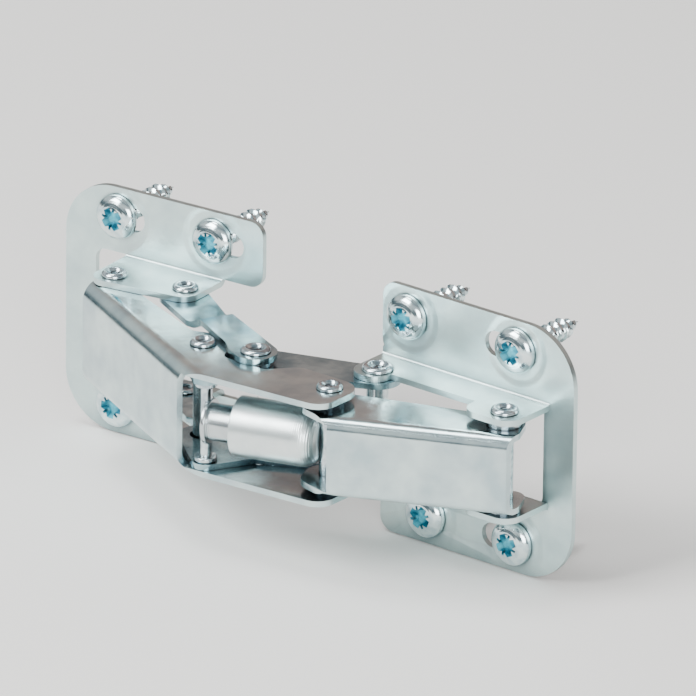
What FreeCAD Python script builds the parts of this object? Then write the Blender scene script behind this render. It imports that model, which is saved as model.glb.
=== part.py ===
"""Seven-pin spring hinge for a cabinet door, drawn with the door open, sizes in millimetres.

X runs along the cabinet plate, Y into the panel it is screwed to, Z up along the pins.
The origin is the middle of the cabinet plate's spine, on its back face.
"""
import FreeCAD, Part
import math
import os
import Sketcher

os.makedirs("parts", exist_ok=True)
doc = FreeCAD.newDocument("SpringHinge")

# Driving sizes: alias, value, what it is
SIZES = [
    ("metal", 1.0, "thickness of all the pressed sheet"),
    ("layer_gap", 0.06, "gap between two sheets that slide on each other"),
    ("running_fit", 0.05, "radial clearance of a pin in the sheet that turns on it"),
    ("plate_width", 39.2, "both screw plates, along the panel"),
    ("plate_height", 43.5, "both screw plates, along the pins"),
    ("spine_corner", 9.5, "corner radius at the closed side of a plate"),
    ("lobe_corner", 2.5, "corner radius at the open side of a plate"),
    ("window_corner", 2.0, "corner radius inside a plate's window"),
    ("spine_width", 6.0, "width of the strip that closes the window"),
    ("bend_inside", 0.5, "inside radius of the bends of both plates"),
    ("flange_relief", 0.3, "step of the window's edge beside a flange"),
    ("cabinet_flange_low", 4.4, "height of the cabinet flange between its two ears"),
    ("door_flange_low", 2.0, "height of the door flange's bent strip below its ears"),
    ("ear_radius", 3.5, "flange in front of its pins"),
    ("ear_rounding", 2.95, "rounding of the flange ears"),
    ("lever_ear_left", 3.7, "cabinet flange beside the lever pin, towards the door"),
    ("lever_ear_right", 2.8, "cabinet flange beside the lever pin, towards the spine"),
    ("cover_ear_left", 6.5, "cabinet flange beside the cover pin, towards the door"),
    ("cover_ear_right", 3.8, "cabinet flange beside the cover pin, towards the spine"),
    ("door_ear_left", 3.4, "door flange beyond the door pin"),
    ("door_ear_right", 3.1, "door flange beyond the guide pin"),
    ("cover_half", 6.85, "half the outer height of the cover channel"),
    ("cover_bend", 2.2, "outside bend radius of the cover channel"),
    ("cover_ahead", 6.26, "cover face in front of its pin on the cabinet plate"),
    ("cover_behind", 2.8, "cover cheeks behind that pin"),
    ("cover_past_pin", 1.9, "cover's face past that pin"),
    ("cover_cheek_past", 3.3, "cover cheeks past that pin"),
    ("cover_cheek_ahead", 3.3, "front corner of the cover cheeks, in front of that pin"),
    ("cover_lobe", 3.9, "cover cheeks around the arm's joint pin"),
    ("cover_edge_x", -28.4, "left edge of the cover's face"),
    ("cover_edge_y", -24.95, "left edge of the cover's face"),
    ("arm_before_pin", 0.8, "left end of the arm's web beyond the foot of the door pin"),
    ("arm_bend", 3.0, "outside bend radius of the long arm"),
    ("arm_ahead", 5.33, "arm's web in front of the door pin"),
    ("arm_corner_x", -57.4, "corner where the arm's web ends and its open part starts"),
    ("arm_corner_y", -27.5, "corner where the arm's web ends and its open part starts"),
    ("arm_front_slope", 5.0, "slope of the arm's open front edge, degrees"),
    ("arm_past_joint", 4.0, "arm cheeks past the joint pin"),
    ("arm_behind_joint", 4.0, "arm cheeks behind the joint pin"),
    ("notch_clearance", 0.35, "arm's notch clear of the link spacers"),
    ("notch_flat", 1.0, "flat run of the notch on each side of the spacers"),
    ("notch_shoulder", 4.2, "slope from the notch up to the rear edge"),
    ("arm_lobe", 3.4, "arm cheeks behind the door pin and the crossing pin"),
    ("arm_waist", 1.1, "arm cheeks behind the line of those pins, between them"),
    ("door_pin_x", -89.02, "pin of door plate and arm"),
    ("door_pin_y", -5.3, "pin of door plate and arm"),
    ("guide_pin_x", -76.55, "rivets of door plate and guide links"),
    ("guide_pin_y", -2.18, "rivets of door plate and guide links"),
    ("crossing_pin_x", -60.78, "pin of arm and crossing lever"),
    ("crossing_pin_y", -16.75, "pin of arm and crossing lever"),
    ("link_pin_x", -50.69, "rivets of guide links and crossing lever"),
    ("link_pin_y", -15.67, "rivets of guide links and crossing lever"),
    ("joint_pin_x", -33.25, "pin of arm and cover"),
    ("joint_pin_y", -18.23, "pin of arm and cover"),
    ("lever_pin_x", -32.41, "pin of crossing lever and cabinet plate"),
    ("lever_pin_y", -6.93, "pin of crossing lever and cabinet plate"),
    ("cover_pin_x", -5.72, "pin of cover and cabinet plate"),
    ("cover_pin_y", -7.79, "pin of cover and cabinet plate"),
    ("spring_pin_x", -53.6, "pin that the spring unit pushes on"),
    ("spring_pin_y", -24.7, "pin that the spring unit pushes on"),
    ("pin_radius", 1.6, "shank of the ordinary pins"),
    ("lever_pin_radius", 1.8, "shank of the lever's pin on the cabinet plate"),
    ("link_pin_radius", 1.5, "shank of the link rivets"),
    ("spring_pin_radius", 1.0, "shank of the spring pin"),
    ("head_height", 0.9, "height of the spun rivet heads"),
    ("small_head", 2.0, "radius of the ordinary rivet heads"),
    ("crossing_head", 2.0, "radius of the crossing pin's heads"),
    ("cover_head", 2.3, "radius of the cover pin's heads"),
    ("lever_head", 2.6, "radius of the lever pin's heads"),
    ("link_head", 2.7, "radius of the link rivets' outer heads"),
    ("inner_head", 3.3, "radius of the link rivets' inner heads"),
    ("inner_head_height", 0.6, "height of the heads inside the hinge"),
    ("crossing_play", 0.5, "play of the lever around the crossing pin"),
    ("link_play", 0.9, "play of the lever around the link rivets"),
    ("lever_lobe", 3.8, "crossing lever around its cabinet pin"),
    ("lever_crossing_lobe", 4.0, "crossing lever around the crossing pin"),
    ("lever_link_lobe", 4.2, "crossing lever around the link rivets"),
    ("lever_spring_lobe", 2.3, "crossing lever around the spring pin"),
    ("spacer_radius", 2.9, "spacers between two levels of sheet"),
    ("joint_spacer_radius", 2.6, "spacers between arm and cover"),
    ("guide_half_width", 4.2, "guide link around its door rivet"),
    ("guide_waist", 3.0, "guide link beside the crossing pin's head"),
    ("guide_hollow", 2.7, "guide link's other edge, clear of the cabinet flange when shut"),
    ("hollow_radius", 6.0, "rounding at the deepest point of that hollow"),
    ("guide_end", 3.7, "guide link around the link rivet"),
    ("joggle_start", 11.4, "where the guide link steps up, from its door rivet"),
    ("joggle_length", 1.8, "length of that step"),
    ("joggle_inside", 0.4, "how far its bend lines lie later on the inner face"),
    ("joggle_outside", 0.2, "how far they lie earlier on the outer face"),
    ("joggle_rounding", 1.0, "rounding of the step's bends"),
    ("collar_radius", 1.9, "collars of the spring pin"),
    ("collar_height", 0.8, "collars of the spring pin"),
    ("barrel_radius", 5.0, "outside of the spring barrel"),
    ("barrel_wall", 0.55, "wall of the spring barrel"),
    ("barrel_length", 15.7, "mouth of the barrel from the joint pin"),
    ("barrel_floor", 0.6, "wall between the barrel's saddle and its floor"),
    ("dome_radius", 2.7, "rounding of the barrel's closed end"),
    ("barrel_nose", 1.16, "flat of the barrel's closed end from the joint pin's middle"),
    ("barrel_shoulder", 3.4, "length over which the closed end swells to full width"),
    ("shoulder_radius", 3.0, "rounding between that stretch and the barrel's straight wall"),
    ("shoulder_swell", 0.2, "how much the barrel's radius grows over that stretch"),
    ("rolled_edge", 0.25, "rounding of the mouths of barrel and plunger"),
    ("plunger_radius", 3.1, "outside of the spring plunger"),
    ("plunger_wall", 0.5, "wall of the spring plunger"),
    ("plunger_rim", 3.8, "rim of the plunger's closed end"),
    ("plunger_nose", 0.37, "rim's face from the spring pin's middle"),
    ("plunger_floor", 0.8, "thickness of the rim and of the wall behind the saddle"),
    ("plunger_length", 13.0, "open end of the plunger from the spring pin"),
    ("spring_wire", 0.9, "wire of the compression spring"),
    ("spring_turns", 5.5, "turns of the compression spring"),
    ("spring_play", 0.1, "spring inside the plunger, radial"),
    ("spring_end_gap", 4.4, "room at the spring's far end, taken up as the hinge passes its middle"),
    ("door_left_x", -105.17, "left end of the door plate's back face"),
    ("door_left_y", 2.49, "left end of the door plate's back face"),
    ("door_tilt", 5.0, "tilt of the door plate to the cabinet plate, degrees"),
    ("screw_margin", 5.05, "screws inside the plates' upper and lower edges"),
    ("door_screw_near", 10.4, "first screw column from the door plate's left end"),
    ("door_screw_far", 29.5, "second screw column from the door plate's left end"),
    ("door_slot_near", 11.4, "first slot column from the door plate's left end"),
    ("door_slot_far", 31.1, "second slot column from the door plate's left end"),
    ("cabinet_screw_upper", -31.0, "upper screw at the cabinet plate's open side"),
    ("cabinet_screw_lower", -26.6, "lower screw at the cabinet plate's open side"),
    ("cabinet_screw_far", -8.8, "screw column at the cabinet plate's spine"),
    ("cabinet_slot_far", -10.9, "slot column at the cabinet plate's spine"),
    ("slot_length", 8.6, "length of a screw slot, over its ends"),
    ("slot_width", 4.3, "width of a screw slot and of the round holes"),
    ("screw_thread", 2.0, "thread radius of the wood screws"),
    ("screw_neck", 1.6, "screw within the plate's thickness"),
    ("screw_length", 16.0, "wood screws below their heads"),
    ("screw_tip", 4.0, "cone at a screw's end"),
    ("screw_head", 3.85, "radius of the screw heads"),
    ("screw_head_height", 2.1, "height of the screw heads"),
    ("recess_width", 1.0, "arm width of the cross recess"),
    ("recess_span", 4.4, "span of the cross recess"),
    ("recess_depth", 1.3, "depth of the cross recess"),
]

sheet = doc.addObject("Spreadsheet::Sheet", "Sizes")
for row, (alias, value, note) in enumerate(SIZES, start=1):
    sheet.set("A%d" % row, alias)
    sheet.set("B%d" % row, str(value))
    sheet.set("C%d" % row, note)
    sheet.setAlias("B%d" % row, alias)
doc.recompute()
size = {alias: float(sheet.get(alias)) for alias, value, note in SIZES}

metal = size["metal"]
gap = size["layer_gap"]
pieces = []


def spot(name):
    """Place of a named pin in the plan."""
    return FreeCAD.Vector(size[name + "_x"], size[name + "_y"], 0)


DOOR_PIN = spot("door_pin")
GUIDE_PIN = spot("guide_pin")
CROSSING_PIN = spot("crossing_pin")
LINK_PIN = spot("link_pin")
JOINT_PIN = spot("joint_pin")
LEVER_PIN = spot("lever_pin")
COVER_PIN = spot("cover_pin")
SPRING_PIN = spot("spring_pin")

# Levels of the sheets, counted out from the middle: cover, lever, arm, flanges
COVER_TOP = size["cover_half"]
LEVER_BASE = COVER_TOP + gap
LEVER_TOP = LEVER_BASE + metal
ARM_BASE = LEVER_TOP + gap
ARM_TOP = ARM_BASE + metal
FLANGE_BASE = ARM_TOP + gap
FLANGE_TOP = FLANGE_BASE + metal
EXPR_LEVER = "Sizes.cover_half + Sizes.layer_gap"
EXPR_ARM = "Sizes.cover_half + 2 * Sizes.layer_gap + Sizes.metal"
EXPR_FLANGE = "Sizes.cover_half + 3 * Sizes.layer_gap + 2 * Sizes.metal"


def plane(body, role):
    """One of a body's own origin planes."""
    return next(f for f in body.Origin.OriginFeatures if f.Role == role)


def new_body(label):
    """A named sub-part, exported later under its label."""
    body = doc.addObject("PartDesign::Body", label)
    body.Label = label
    pieces.append(body)
    return body


def new_sketch(body, name, role="XY_Plane", height=None):
    """A sketch on an origin plane, raised by an expression on the sheet."""
    sketch = body.newObject("Sketcher::SketchObject", body.Label + "_" + name)
    sketch.AttachmentSupport = [(plane(body, role), "")]
    sketch.MapMode = "FlatFace"
    if height is not None:
        sketch.setExpression("AttachmentOffset.Base.z", height)
    return sketch


def outline(sketch, corners):
    """A closed outline of straight runs, each corner (x, y) or (x, y, radius)."""
    points = [FreeCAD.Vector(c[0], c[1], 0) for c in corners]
    radii = [c[2] if len(c) > 2 else 0 for c in corners]
    count = len(points)
    entries, exits, arcs = [], [], []
    for i in range(count):
        here, radius = points[i], radii[i]
        back = (points[i - 1] - here).normalize()
        ahead = (points[(i + 1) % count] - here).normalize()
        if radius <= 0:
            entries.append(here)
            exits.append(here)
            arcs.append(None)
            continue
        half = back.getAngle(ahead) / 2
        reach = radius / math.tan(half)
        bisector = (back + ahead).normalize()
        middle = here + bisector * (radius / math.sin(half) - radius)
        entries.append(here + back * reach)
        exits.append(here + ahead * reach)
        arcs.append(Part.Arc(entries[-1], middle, exits[-1]))
    for i in range(count):
        if arcs[i] is not None:
            sketch.addGeometry(arcs[i], False)
        start, end = exits[i], entries[(i + 1) % count]
        if (end - start).Length > 1e-6:
            sketch.addGeometry(Part.LineSegment(start, end), False)


def circle(sketch, place, radius):
    """A circle with its centre held and its radius bound to an expression."""
    index = sketch.addGeometry(Part.Circle(place, FreeCAD.Vector(0, 0, 1), 1.0), False)
    for kind, value in (("DistanceX", place.x), ("DistanceY", place.y)):
        if abs(value) > 1e-9:
            sketch.addConstraint(Sketcher.Constraint(kind, -1, 1, index, 3, value))
        else:
            other = "PointOnObject"
            axis = -2 if kind == "DistanceX" else -1
            sketch.addConstraint(Sketcher.Constraint(other, index, 3, axis))
    number = sketch.addConstraint(Sketcher.Constraint("Radius", index, 1.0))
    sketch.setExpression("Constraints[%d]" % number, radius)


def pad(body, sketch, length, symmetric=False, downward=False):
    """Material from a sketch, its length an expression."""
    feature = body.newObject("PartDesign::Pad", sketch.Name + "_pad")
    feature.Profile = sketch
    feature.setExpression("Length", length)
    feature.Midplane = symmetric
    feature.Reversed = downward
    sketch.Visibility = False
    return feature


def cut_through(body, sketch):
    """A cut both ways through everything."""
    feature = body.newObject("PartDesign::Pocket", sketch.Name + "_cut")
    feature.Profile = sketch
    feature.Type = 1
    feature.Midplane = True
    return feature


def cut(body, sketch, length, symmetric=False, flipped=False):
    """A cut of a stated depth, an expression."""
    feature = body.newObject("PartDesign::Pocket", sketch.Name + "_cut")
    feature.Profile = sketch
    feature.setExpression("Length", length)
    feature.Midplane = symmetric
    feature.Reversed = flipped
    return feature


def turn(body, sketch, axis):
    """A turned form about one of the sketch's axes."""
    feature = body.newObject("PartDesign::Revolution", sketch.Name + "_turn")
    feature.Profile = sketch
    feature.ReferenceAxis = (sketch, [axis])
    feature.Angle = 360
    return feature


def round_edges(body, base, wanted, radius):
    """Fillets on the edges of base that the function wanted picks."""
    doc.recompute()
    names = ["Edge%d" % (i + 1) for i, edge in enumerate(base.Shape.Edges) if wanted(edge)]
    feature = body.newObject("PartDesign::Fillet", body.Label + "_round%d" % len(body.Group))
    feature.Base = (base, names)
    feature.setExpression("Radius", radius)
    return feature


def place_at(body, name, level="0", angle=0.0):
    """Puts a body at a named pin, turned in the plan."""
    body.Placement = FreeCAD.Placement(
        FreeCAD.Vector(), FreeCAD.Rotation(FreeCAD.Vector(0, 0, 1), angle))
    body.setExpression("Placement.Base.x", "Sizes.%s_x" % name)
    body.setExpression("Placement.Base.y", "Sizes.%s_y" % name)
    body.setExpression("Placement.Base.z", level)


def heading(start, end):
    """Angle of a direction in the plan, degrees."""
    return math.degrees(math.atan2(end.y - start.y, end.x - start.x))


# Screw plates: one pressed sheet each, a C open towards the joint, its window's edges
# folded up into two flanges that carry the pins.

def plate(label, spine_side, base, base_expression, ear_low, ears, slots):
    """A C plate: spine_side +1 right or -1 left; its flanges stand at the level base, and ears
    lists (pin in the plate's own plan, reach to its left, reach to its right)."""
    body = new_body(label)
    half = size["plate_height"] / 2
    width = size["plate_width"]
    right = size["spine_width"] / 2 if spine_side > 0 else width
    left = right - width
    top = base + metal
    window = top + size["flange_relief"]
    far = right if spine_side > 0 else left
    near = left if spine_side > 0 else right
    spine = far - spine_side * size["spine_width"]
    big, small, inside = size["spine_corner"], size["lobe_corner"], size["window_corner"]
    face = new_sketch(body, "face", "XZ_Plane")
    outline(face, [(near, -half, small), (far, -half, big), (far, half, big), (near, half, small),
                   (near, window, small), (spine, window, inside), (spine, -window, inside),
                   (near, -window, small)])
    pad(body, face, "Sizes.metal")

    # Flange: a bent strip along the window's edge, with the ears standing on it
    below = size["ear_radius"]
    (first, first_left, first_right), (last, last_left, last_right) = ears
    start = first.x - first_left
    end = last.x + last_right
    inner = size["bend_inside"]
    strip = new_sketch(body, "strip", "YZ_Plane")
    strip.AttachmentOffset = FreeCAD.Placement(FreeCAD.Vector(0, 0, start), FreeCAD.Rotation())
    outline(strip, [(0, window + metal), (0, base, metal + inner), (-ear_low, base),
                    (-ear_low, top), (-metal, top, inner),
                    (-metal, window + metal)])
    strip_pad = pad(body, strip, "%.6f" % (end - start))
    foot = -(metal + inner + 0.2)
    ear_sketch = new_sketch(body, "ears", "XY_Plane", base_expression)
    rounding = size["ear_rounding"]
    if spine_side < 0:
        outline(ear_sketch, [(start, foot), (end, foot), (end, last.y - below, rounding),
                             (start, first.y - below, rounding)])
    else:
        for ear, to_left, to_right in ears:
            outline(ear_sketch, [(ear.x - to_left, foot), (ear.x + to_right, foot),
                                 (ear.x + to_right, ear.y - below, rounding),
                                 (ear.x - to_left, ear.y - below, rounding)])
    ear_pad = pad(body, ear_sketch, "Sizes.metal")
    mirror = body.newObject("PartDesign::Mirrored", label + "_lower_flange")
    mirror.Originals = [strip_pad, ear_pad]
    mirror.MirrorPlane = (plane(body, "XY_Plane"), [""])
    body.Tip = mirror
    doc.recompute()

    bores = new_sketch(body, "bores")
    circle(bores, first, "Sizes.pin_radius" if spine_side < 0 else "Sizes.lever_pin_radius")
    circle(bores, last, "Sizes.pin_radius")
    cut_through(body, bores)

    holes = new_sketch(body, "screw_holes", "XZ_Plane")
    wide = size["slot_width"] / 2
    for x, z, length in slots:
        run = (length - size["slot_width"]) / 2
        if run < 0.01:
            circle(holes, FreeCAD.Vector(x, z, 0), "Sizes.slot_width / 2")
            continue
        ends = [FreeCAD.Vector(x - run, z, 0), FreeCAD.Vector(x + run, z, 0)]
        rise, out = FreeCAD.Vector(0, wide, 0), FreeCAD.Vector(wide, 0, 0)
        holes.addGeometry(Part.LineSegment(ends[0] + rise, ends[1] + rise), False)
        holes.addGeometry(Part.LineSegment(ends[0] - rise, ends[1] - rise), False)
        holes.addGeometry(Part.Arc(ends[0] - rise, ends[0] - out, ends[0] + rise), False)
        holes.addGeometry(Part.Arc(ends[1] - rise, ends[1] + out, ends[1] + rise), False)
    cut_through(body, holes)
    return body


row = size["plate_height"] / 2 - size["screw_margin"]
slot = size["slot_length"]
hole = size["slot_width"]
plate("cabinet_plate", 1, ARM_BASE, EXPR_ARM, size["cabinet_flange_low"],
      [(LEVER_PIN, size["lever_ear_left"], size["lever_ear_right"]),
       (COVER_PIN, size["cover_ear_left"], size["cover_ear_right"])],
      [(size["cabinet_screw_upper"], row, hole), (size["cabinet_screw_lower"], -row, hole),
       (size["cabinet_slot_far"], row, slot), (size["cabinet_slot_far"], -row, slot)])

door_turn = FreeCAD.Rotation(FreeCAD.Vector(0, 0, 1), size["door_tilt"])
door_place = FreeCAD.Placement(FreeCAD.Vector(size["door_left_x"], size["door_left_y"], 0),
                               door_turn)
door_ears = [door_place.inverse().multVec(p) for p in (DOOR_PIN, GUIDE_PIN)]
door_low = size["door_flange_low"]
door = plate("door_plate", -1, FLANGE_BASE, EXPR_FLANGE, door_low,
             [(door_ears[0], size["door_ear_left"], 0), (door_ears[1], 0, size["door_ear_right"])],
             [(size["door_slot_near"], z, slot) for z in (row, -row)]
             + [(size["door_slot_far"], z, slot) for z in (row, -row)])
door.Placement = door_place
door.setExpression("Placement.Base.x", "Sizes.door_left_x")
door.setExpression("Placement.Base.y", "Sizes.door_left_y")


# Long arm: a pressed channel, closed in front over its left part and open over its right part

def channel(label, corners, cutter, half, bend, face_ends, bores):
    """A folded channel: the plan is padded, hollowed, and its folds are rounded."""
    body = new_body(label)
    plan = new_sketch(body, "plan")
    outline(plan, corners)
    block = pad(body, plan, "2 * (%s)" % half, symmetric=True)
    middle = (face_ends[0] + face_ends[1]) * 0.5
    along = (face_ends[1] - face_ends[0]).normalize()

    def fold_at(level):
        def wanted(edge):
            here = edge.CenterOfMass
            direction = (edge.Vertexes[-1].Point - edge.Vertexes[0].Point)
            if direction.Length < 5 or abs(abs(here.z) - level) > 0.01:
                return False
            aside = here - middle
            off = abs(aside.x * along.y - aside.y * along.x)
            return off < metal * 1.2 and abs(direction.normalize().dot(along)) > 0.999
        return wanted

    doc.recompute()
    top = max(v.Z for v in block.Shape.Vertexes)
    fold = round_edges(body, block, fold_at(top), bend)
    inside = new_sketch(body, "inside")
    outline(inside, cutter)
    hollow = cut(body, inside, "2 * (%s - Sizes.metal)" % half, symmetric=True)
    doc.recompute()
    round_edges(body, hollow, fold_at(top - metal), "%s - Sizes.metal" % bend)
    hole_sketch = new_sketch(body, "bores")
    for place, radius in bores:
        circle(hole_sketch, place, radius)
    cut_through(body, hole_sketch)
    return body


def shifted(place, along, ahead, side, aside):
    """A point from a place, some way along one direction and some way to its side."""
    return place + along * ahead + side * aside


web_along = FreeCAD.Vector(size["arm_corner_x"], size["arm_corner_y"], 0) - DOOR_PIN
# The web is a tangent to the circle of arm_ahead round the door pin, through the arm's corner
web_angle = math.atan2(web_along.y, web_along.x) + math.asin(size["arm_ahead"] / web_along.Length)
web_dir = FreeCAD.Vector(math.cos(web_angle), math.sin(web_angle), 0)
web_front = FreeCAD.Vector(web_dir.y, -web_dir.x, 0)
arm_corner = FreeCAD.Vector(size["arm_corner_x"], size["arm_corner_y"], 0)
web_start = DOOR_PIN + web_front * size["arm_ahead"] - web_dir * size["arm_before_pin"]
front_slope = math.tan(math.radians(size["arm_front_slope"]))
arm_end_x = JOINT_PIN.x + size["arm_past_joint"]
arm_end_front = arm_corner.y + (arm_end_x - arm_corner.x) * front_slope
pins_along = (CROSSING_PIN - DOOR_PIN).normalize()
pins_behind = FreeCAD.Vector(-pins_along.y, pins_along.x, 0)
lobe, waist = size["arm_lobe"], size["arm_waist"]
notch_room = size["spacer_radius"] + size["notch_clearance"]
notch_y = LINK_PIN.y - notch_room
notch_left = LINK_PIN.x - notch_room - size["notch_flat"]
notch_right = LINK_PIN.x + notch_room + size["notch_flat"]
notch_end = notch_right + size["notch_shoulder"]
arm_rear = JOINT_PIN.y + size["arm_behind_joint"]

# Each corner of a channel's plan is x, y and its rounding
arm_corners = [
    (web_start.x, web_start.y),
    (arm_corner.x, arm_corner.y),
    (arm_end_x, arm_end_front, 3.2),
    (arm_end_x, arm_rear, 3.9),
    (notch_end, arm_rear, 2.0),
    (notch_right, notch_y, 1.5),
    (notch_left, notch_y, 1.5),
]
# Rear edge from the crossing pin back to the door pin: way along, way behind, rounding
for place, ahead, aside, radius in (
        (CROSSING_PIN, lobe, lobe, 3.0), (CROSSING_PIN, -3.4, lobe, 2.2),
        (CROSSING_PIN, -5.8, waist, 1.5), (DOOR_PIN, 6.8, waist, 1.5),
        (DOOR_PIN, 4.4, lobe, 2.0), (DOOR_PIN, -3.8, lobe, 3.2)):
    point = shifted(place, pins_along, ahead, pins_behind, aside)
    arm_corners.append((point.x, point.y, radius))

web_inside = web_front * metal
beyond = 12.0  # how far the cutters reach past the sheet
far_left = web_start - web_dir * beyond - web_inside
far_right = arm_end_x + beyond
web_outside = arm_corner + web_front * (3 * metal)
arm_cutter = [
    (far_left.x, far_left.y),
    (arm_corner.x - web_inside.x, arm_corner.y - web_inside.y),
    (web_outside.x, web_outside.y),
    (far_right, arm_end_front - beyond),
    (far_right, beyond),
    (far_left.x, beyond),
]
channel("long_arm", arm_corners, arm_cutter,
        "Sizes.cover_half + 2 * Sizes.layer_gap + 2 * Sizes.metal", "Sizes.arm_bend",
        (web_start, arm_corner),
        [(DOOR_PIN, "Sizes.pin_radius + Sizes.running_fit"), (CROSSING_PIN, "Sizes.pin_radius"),
         (JOINT_PIN, "Sizes.pin_radius")])


# Cover: the short channel between the arm's joint pin and the cabinet plate

cover_edge = FreeCAD.Vector(size["cover_edge_x"], size["cover_edge_y"], 0)
to_pin = COVER_PIN - cover_edge
cover_angle = math.atan2(to_pin.y, to_pin.x) - math.asin(size["cover_ahead"] / to_pin.Length)
cover_dir = FreeCAD.Vector(math.cos(cover_angle), math.sin(cover_angle), 0)
cover_rear = FreeCAD.Vector(-cover_dir.y, cover_dir.x, 0)
cover_end = shifted(COVER_PIN, cover_dir, size["cover_past_pin"], cover_rear,
                    -size["cover_ahead"])
cover_end_rear = shifted(COVER_PIN, cover_dir, size["cover_cheek_past"], cover_rear,
                         size["cover_behind"])
cover_end_side = shifted(COVER_PIN, cover_dir, size["cover_cheek_past"], cover_rear,
                         -size["cover_cheek_ahead"])
span_dir = (COVER_PIN - JOINT_PIN).normalize()
span_rear = FreeCAD.Vector(-span_dir.y, span_dir.x, 0)
round_lobe = size["cover_lobe"]
lobe_rear = shifted(JOINT_PIN, span_dir, -round_lobe, span_rear, round_lobe)
lobe_front = shifted(JOINT_PIN, span_dir, -round_lobe, span_rear, -round_lobe)
cover_corners = [
    (cover_edge.x, cover_edge.y),
    (cover_end.x, cover_end.y),
    (cover_end_side.x, cover_end_side.y, 1.5),
    (cover_end_rear.x, cover_end_rear.y, 2.4),
    (lobe_rear.x, lobe_rear.y, round_lobe - 0.1),
    (lobe_front.x, lobe_front.y, round_lobe - 0.3),
]
cover_inside = cover_rear * metal
past = cover_end + cover_dir * beyond + cover_inside
cover_outside = cover_edge - cover_rear * beyond
cover_cutter = [
    (cover_edge.x + cover_inside.x, cover_edge.y + cover_inside.y),
    (past.x, past.y),
    (past.x, beyond),
    (lobe_rear.x - beyond, beyond),
    (lobe_rear.x - beyond, cover_outside.y),
    (cover_outside.x, cover_outside.y),
]
channel("cover_link", cover_corners, cover_cutter, "Sizes.cover_half", "Sizes.cover_bend",
        (cover_edge, cover_end),
        [(JOINT_PIN, "Sizes.pin_radius + Sizes.running_fit"),
         (COVER_PIN, "Sizes.pin_radius + Sizes.running_fit")])


# Crossing lever: two flat blanks, one above and one below, joined by the spring pin

def belt(sketch, one, radius_one, two, radius_two):
    """A strap's outline: two round ends and the lines that touch both."""
    apart = (two - one).Length
    base = math.atan2(two.y - one.y, two.x - one.x)
    lean = math.acos((radius_one - radius_two) / apart)

    def rim(centre, radius, angle):
        return centre + FreeCAD.Vector(math.cos(angle), math.sin(angle), 0) * radius

    sketch.addGeometry(Part.Arc(rim(one, radius_one, base + lean), rim(one, radius_one, base + math.pi),
                                rim(one, radius_one, base - lean)), False)
    sketch.addGeometry(Part.LineSegment(rim(one, radius_one, base - lean),
                                        rim(two, radius_two, base - lean)), False)
    sketch.addGeometry(Part.Arc(rim(two, radius_two, base - lean), rim(two, radius_two, base),
                                rim(two, radius_two, base + lean)), False)
    sketch.addGeometry(Part.LineSegment(rim(two, radius_two, base + lean),
                                        rim(one, radius_one, base + lean)), False)


SIDES = (("upper", 1), ("lower", -1))
for name, sign in SIDES:
    lever = new_body("crossing_lever_" + name)
    base = ("" if sign > 0 else "-") + "(" + EXPR_LEVER + ")"
    for number, (one, r_one, two, r_two) in enumerate((
            (LEVER_PIN, "lever_lobe", CROSSING_PIN, "lever_crossing_lobe"),
            (LEVER_PIN, "lever_lobe", LINK_PIN, "lever_link_lobe"),
            (CROSSING_PIN, "lever_crossing_lobe", LINK_PIN, "lever_link_lobe"),
            (CROSSING_PIN, "lever_crossing_lobe", SPRING_PIN, "lever_spring_lobe"),
            (LINK_PIN, "lever_link_lobe", SPRING_PIN, "lever_spring_lobe"))):
        strap = new_sketch(lever, "strap%d" % (number + 1), "XY_Plane", base)
        belt(strap, one, size[r_one], two, size[r_two])
        pad(lever, strap, "Sizes.metal", downward=sign < 0)
    bores = new_sketch(lever, "bores")
    circle(bores, LEVER_PIN, "Sizes.lever_pin_radius + Sizes.running_fit")
    circle(bores, CROSSING_PIN, "Sizes.pin_radius + Sizes.crossing_play")
    circle(bores, LINK_PIN, "Sizes.link_pin_radius + Sizes.link_play")
    circle(bores, SPRING_PIN, "Sizes.spring_pin_radius")
    cut_through(lever, bores)


# Guide links: blanks with a step, under the door flange at one end, over the arm at the other

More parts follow.
